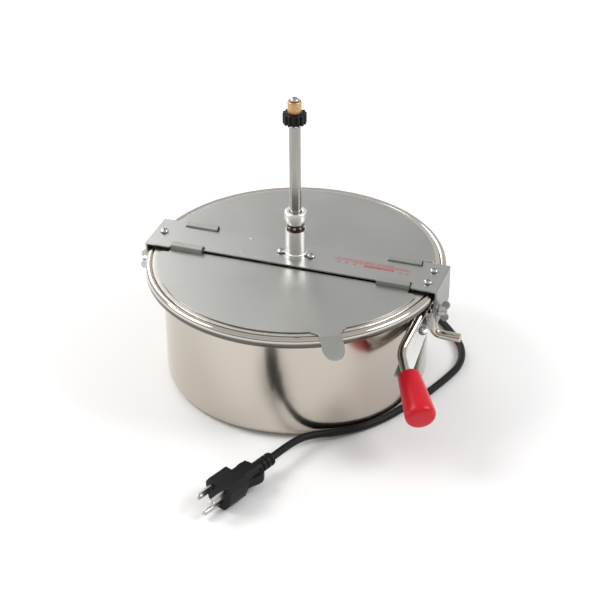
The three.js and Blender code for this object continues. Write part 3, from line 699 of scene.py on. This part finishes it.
def ringTree():  # copies of an item on a circle, each turned to face outwards
    tree = nodeTree("ringOfItems", [("Item", "NodeSocketObject"), ("Count", "NodeSocketInt"),
                                    ("Radius", "NodeSocketFloat"), ("Finish", "NodeSocketMaterial")])
    given = growth(tree, "NodeGroupInput").outputs
    circle = growth(tree, "GeometryNodeMeshCircle", None,
                    {"Vertices": given["Count"], "Radius": given["Radius"]})
    item = growth(tree, "GeometryNodeObjectInfo", None, {"Object": given["Item"]})
    place = growth(tree, "GeometryNodeInputPosition")
    facing = growth(tree, "FunctionNodeAlignRotationToVector", {"axis": "X"}, {"Vector": place.outputs[0]})
    copies = growth(tree, "GeometryNodeInstanceOnPoints", None, {
        "Points": circle.outputs["Mesh"], "Instance": item.outputs["Geometry"],
        "Rotation": facing.outputs[0]})
    real = growth(tree, "GeometryNodeRealizeInstances", None, {"Geometry": copies.outputs[0]})
    painted = growth(tree, "GeometryNodeSetMaterial", None,
                     {"Geometry": real.outputs[0], "Material": given["Finish"]})
    growth(tree, "NodeGroupOutput", None, {"Geometry": painted.outputs[0]})
    return tree


def pointTree():  # copies of an item on the vertices of a guide
    tree = nodeTree("itemsOnPoints", [("Item", "NodeSocketObject"), ("Guide", "NodeSocketObject"),
                                      ("Turn", "NodeSocketFloat"), ("Seed", "NodeSocketInt"),
                                      ("Finish", "NodeSocketMaterial")])
    given = growth(tree, "NodeGroupInput").outputs
    guide = growth(tree, "GeometryNodeObjectInfo", None, {"Object": given["Guide"]})
    item = growth(tree, "GeometryNodeObjectInfo", None, {"Object": given["Item"]})
    spin = growth(tree, "FunctionNodeRandomValue", {"data_type": "FLOAT"},
                  {"Seed": given["Seed"]})
    tree.links.new(given["Turn"], spin.inputs[3])
    turn = growth(tree, "ShaderNodeCombineXYZ", None, {"Z": spin.outputs[1]})
    copies = growth(tree, "GeometryNodeInstanceOnPoints", None, {
        "Points": guide.outputs["Geometry"], "Instance": item.outputs["Geometry"],
        "Rotation": turn.outputs[0]})
    real = growth(tree, "GeometryNodeRealizeInstances", None, {"Geometry": copies.outputs[0]})
    painted = growth(tree, "GeometryNodeSetMaterial", None,
                     {"Geometry": real.outputs[0], "Material": given["Finish"]})
    growth(tree, "NodeGroupOutput", None, {"Geometry": painted.outputs[0]})
    return tree


ringOfItems, itemsOnPoints = ringTree(), pointTree()


def drop(piece):
    bpy.data.objects.remove(piece, do_unlink=True)


def cutBy(piece, cutters):
    for cutter in cutters:
        hole = piece.modifiers.new("cut", "BOOLEAN")
        hole.operation, hole.solver, hole.object = "DIFFERENCE", "EXACT", cutter
    result = bpy.data.meshes.new_from_object(piece.evaluated_get(bpy.context.evaluated_depsgraph_get()))
    piece.modifiers.clear()
    piece.data = result
    for cutter in cutters:
        drop(cutter)
    return piece


def boxMesh(name, sizes, place=(0, 0, 0), spin=0):
    build = bmesh.new()
    bmesh.ops.create_cube(build, size=1)
    matrix = (Matrix.Rotation(spin, 4, "Z") @ Matrix.Translation(Vector(place) * mm)
              @ Matrix.Diagonal((*[s * mm for s in sizes], 1)))
    return meshFrom(name, build, matrix)


screwShape = {"head": 3.6, "height": 2.35, "shank": 1.6, "below": 3, "slot": 0.8, "reach": 4.4, "deep": 1.2}
crossTurns = (0.0, math.pi / 2)


def screwItem(scale=1.0):  # domed head with a cross recess, seat at zero
    head, height = screwShape["head"] * scale, screwShape["height"] * scale
    dome = [(0, -screwShape["below"]), (screwShape["shank"], -screwShape["below"]), (screwShape["shank"], 0),
            (head * 0.94, 0), (head, height * 0.12), (head, height * 0.36), (head * 0.9, height * 0.66),
            (head * 0.66, height * 0.88), (head * 0.34, height * 0.98), (0, height)]
    item = objectFrom("screwItem", latheMesh("screwItem", dome, 40))
    reach, slot, tall = screwShape["reach"] * scale, screwShape["slot"] * scale, 3
    place = (0, 0, height - screwShape["deep"] + tall / 2)
    cutters = [objectFrom("slot", boxMesh("slot", (reach, slot, tall), place, spin)) for spin in crossTurns]
    return cutBy(item, cutters)


barScrews = {"crossbar_screw_left": (-120, 0.7), "crossbar_screw_right_front": (117.5, -9.6),
             "crossbar_screw_right_rear": (117.5, 9.6), "housing_screw_left": (-13.2, 0),
             "housing_screw_right": (13.2, 0)}
screwSeat = {"height": 109.4, "turn": 3.1, "seed": 7}


def makeBarScrews():
    guideMesh = bpy.data.meshes.new("screwGuide")
    seat = screwSeat["height"] * mm
    guideMesh.from_pydata([(x * mm, y * mm, seat) for x, y in barScrews.values()], [], [])
    guide = objectFrom("screwGuide", guideMesh)
    item = screwItem()
    made = grown("barScrews", itemsOnPoints, {
        "Item": item, "Guide": guide, "Turn": screwSeat["turn"], "Seed": screwSeat["seed"],
        "Finish": finishes["zinc"]})
    drop(guide)
    drop(item)
    settle(made, "zinc", "kettle", list(barScrews))


makeBarScrews()

baseScrews = {"ring": 80, "count": 3}


def makeBaseScrews():
    head = latheMesh("sunkScrew", rounded([(0, 0.1), (3.7, 0.1), (1.9, 1.9), (1.9, 14), (0, 14)], 0.2), 32)
    cutters = [objectFrom("slot", boxMesh("slot", (4, 0.8, 1.6), (0, 0, 0.1), spin))
               for spin in crossTurns]
    item = cutBy(objectFrom("sunkScrew", head), cutters)
    made = grown("baseScrews", ringOfItems, {"Item": item, "Count": baseScrews["count"],
                                             "Radius": baseScrews["ring"] * mm, "Finish": finishes["zinc"]})
    drop(item)
    made.data.transform(Matrix.Rotation(math.pi / 2, 4, "Z"))
    settle(made, "zinc", "kettle", ["base_screw_1", "base_screw_2", "base_screw_3"])


makeBaseScrews()
print("screws ready")

# bearing housing, bearing and everything on the shaft
stack = {"housing": 8.6, "housingFoot": 107.8, "housingTop": 134.0, "bore": 5.3, "bearingTop": 139.6,
         "washer": 7.3, "washerWall": 1.0, "cage": 6.9, "balls": 9, "ballRadius": 1.3, "ballRing": 6.5}


def makeHousing():
    radius, foot, top, bore = (stack[key] for key in ("housing", "housingFoot", "housingTop", "bore"))
    profile = [(bore, foot), (radius + 0.9, foot), (radius + 0.9, 112.4), (radius, 113),
               (radius, top - 1.0), (radius - 0.4, top - 0.5), (radius - 0.6, top), (bore, top),
               (bore, foot)]
    lathe("housingBarrel", rounded(profile, 0.3), 96, "aluminium", "kettle", [])
    refined("housingFlange", "bearing_housing", "aluminium", 0.2)
    low, high, outer, wall = top + 0.3, stack["bearingTop"], stack["washer"], stack["washerWall"]
    middle = (low + high) / 2
    for name, bottom in (("bearingWasherLow", low), ("bearingWasherHigh", high - wall)):
        profile = [(bore, bottom), (outer, bottom), (outer, bottom + wall), (bore, bottom + wall),
                   (bore, bottom)]
        lathe(name, rounded(profile, 0.2), 72, "oxide", "kettle", [])
    cage = [(bore, middle - 1.2), (stack["cage"], middle - 1.2), (stack["cage"], middle + 1.2),
            (bore, middle + 1.2), (bore, middle - 1.2)]
    lathe("bearingCage", rounded(cage, 0.2), 72, "oxide", "kettle", ["thrust_bearing"])
    build = bmesh.new()
    bmesh.ops.create_uvsphere(build, u_segments=20, v_segments=12, radius=stack["ballRadius"] * mm)
    ball = objectFrom("ball", meshFrom("ball", build))
    values = {"Item": ball, "Count": stack["balls"], "Radius": stack["ballRing"] * mm,
              "Finish": finishes["shaft"]}
    balls = grown("bearingBalls", ringOfItems, values)
    drop(ball)
    balls.data.transform(Matrix.Translation((0, 0, middle * mm)))
    settle(balls, "shaft", "kettle", [])


makeHousing()

shaftShape = {"radius": 4.9, "bottom": 36.5, "shoulder": 229.6, "stub": 3.2, "top": 251.3}
onShaft = {  # outlines as radius, height
    "collar": [(5.2, 139.9), (7.4, 139.9), (9.2, 144), (9.2, 150.6), (8.6, 151.2), (5.9, 151.2),
               (5.2, 150.7), (5.2, 139.9)],
    "setScrew": [(0, 0), (1.0, 0), (1.0, 1.2), (1.8, 1.2), (1.8, 3.7), (0, 3.7)],
    "setScrewPlace": (-5.35, 0, 147.3),
    "washer": [(3.5, 229.9), (6.1, 229.9), (6.1, 231.9), (3.5, 231.9), (3.5, 229.9)],
    "bush": [(3.5, 241.4), (5.7, 241.4), (5.7, 251.1), (5.3, 251.6), (3.5, 251.6), (3.5, 241.4)],
}


def makeShaft():
    radius, bottom, shoulder, stub, top = (shaftShape[key] for key in (
        "radius", "bottom", "shoulder", "stub", "top"))
    profile = [(0, bottom), (radius - 0.8, bottom), (radius, bottom + 0.8), (radius, 100), (radius, 160),
               (radius, shoulder - 0.4), (radius - 0.4, shoulder), (stub, shoulder), (stub, top), (0, top)]
    lathe("stirrerShaft", profile, 96, "shaft", "stirrer", ["stirrer_shaft"])
    lathe("shaftCollar", rounded(onShaft["collar"], 0.3), 96, "aluminium", "stirrer",
          ["shaft_collar"])
    lathe("collarSetScrew", rounded(onShaft["setScrew"], 0.15), 24, "oxide", "stirrer",
          ["collar_set_screw"], aim((-1, 0, 0), onShaft["setScrewPlace"]))
    lathe("gearWasher", rounded(onShaft["washer"], 0.3), 64, "zinc", "stirrer", ["gear_washer"])
    lathe("gearBush", rounded(onShaft["bush"], 0.2), 72, "brass", "stirrer", ["gear_bush"])


makeShaft()

gearShape = {"teeth": 14, "root": 7.9, "tip": 9.8, "bottom": 232.2, "top": 241.1, "bore": 3.5,
             "screwSeat": 251.9, "screwScale": 1.03}


def makeGear():
    bottom, top = gearShape["bottom"], gearShape["top"]
    reach = gearShape["tip"] - gearShape["root"] + 1.2
    outline = [(-1.2, -1.6), (-1.2, 1.6), (0.6, 1.35), (reach - 1.7, 0.75), (reach - 1.2, 0.55),
               (reach - 1.2, -0.55), (reach - 1.7, -0.75), (0.6, -1.35)]
    build = bmesh.new()
    lower = [build.verts.new((x * mm, y * mm, bottom * mm)) for x, y in outline]
    upper = [build.verts.new((x * mm, y * mm, top * mm)) for x, y in outline]
    build.faces.new(lower)
    build.faces.new(upper)
    for k in range(len(outline)):
        after = (k + 1) % len(outline)
        build.faces.new((lower[k], lower[after], upper[after], upper[k]))
    tooth = bevelled(objectFrom("tooth", meshFrom("tooth", build)), 0.12, 2, 30)
    values = {"Item": tooth, "Count": gearShape["teeth"], "Radius": gearShape["root"] * mm,
              "Finish": finishes["gear"]}
    teeth = grown("driveGearTeeth", ringOfItems, values)
    drop(tooth)
    settle(teeth, "gear", "stirrer", ["drive_gear"])
    core = [(gearShape["bore"], bottom), (gearShape["root"], bottom), (gearShape["root"], top),
            (gearShape["bore"], top), (gearShape["bore"], bottom)]
    lathe("driveGearCore", rounded(core, 0.25), 72, "gear", "stirrer", [])
    item = screwItem(gearShape["screwScale"])
    item.data.transform(Matrix.Translation((0, 0, gearShape["screwSeat"] * mm)))
    item.name = "topScrew"
    settle(item, "zinc", "stirrer", ["top_screw"])


makeGear()
refined("stirrerBlade", "stirrer_blade", "sheet", 0.3, 2)
print("stirrer ready")

# wing nuts and their bolts
for side in ("left", "right"):
    refined("wingNut" + side.title(), "wing_nut_" + side, "zinc", 0.55, 3, 40)
    refined("flangeBolt" + side.title(), "flange_bolt_" + side, "zinc", 0.3, 2, 40)

# handle: bent rod, strap screw and grip
handle = {
    "rodRadius": 3.8, "bend": 9, "pin": (144, 2, 53.5), "corner": (120.4, 2, 53.5), "top": (118.6, 2, 93),
    "axis": (0.479, -0.832, -0.279), "side": (0.867, 0.499, 0), "rodBend": (108.8, -57.5, 69),
    "mouth": 22.5, "rodInGrip": 20, "gripAside": 2.3, "gripBelow": 2.7,
    "grip": [(0, 7), (7.6, 7), (7.6, 0.6), (8.2, 0), (8.8, 0), (9.4, 0.9), (10.9, 19), (12.3, 37),
             (12.55, 39.6), (12.4, 41.6), (11.7, 43.6), (10.3, 45.0), (8.4, 45.6), (5, 45.8), (0, 45.8)],
}


def makeHandle():
    axis = Vector(handle["axis"]).normalized()
    bend = Vector(handle["rodBend"])
    mouth = bend + axis * handle["mouth"]
    points = [Vector(handle["pin"]), Vector(handle["corner"]), Vector(handle["top"]), bend,
              mouth + axis * handle["rodInGrip"]]
    path = [points[0]]
    for before, corner, after in zip(points, points[1:], points[2:]):
        start = corner + (before - corner).normalized() * handle["bend"]
        end = corner + (after - corner).normalized() * handle["bend"]
        for t in (k / 14 for k in range(15)):
            path.append(start * (1 - t) ** 2 + corner * 2 * t * (1 - t) + end * t ** 2)
    path.append(points[-1])
    sweep("handleRod", path, handle["rodRadius"], 40, "chrome", "kettle", ["handle_rod"], 0.4)
    side = Vector(handle["side"])
    gripMouth = mouth + side * handle["gripAside"] + side.cross(axis) * handle["gripBelow"]
    lathe("handleGrip", rounded(handle["grip"], 0.6), 96, "red", "kettle", ["handle_grip"],
          aim(axis, gripMouth))


makeHandle()
refined("handleScrew", "handle_screw", "zinc", 0.2, 2, 30)

# CAD nodes that no new piece replaces get a finish here
kept = {"zinc": ["handle_boss", "rod_pad", "base_post_1", "base_post_2", "base_post_3", "blade_pin",
                 "heater_clamp_plate", "thermal_fuse"],
        "oxide": ["heating_ring"], "fibre": ["insulation_pad"], "ceramic": ["thermostat", "terminal_block"]}
for finish, nodes in kept.items():
    for node in nodes:
        mesh = frame["nodes"][node]
        for place in mesh.material_slots:
            place.material = finishes[finish]
refined("baseCover", "base_cover", "sheet", 0.3, 2, 40)
print("handle and base ready")
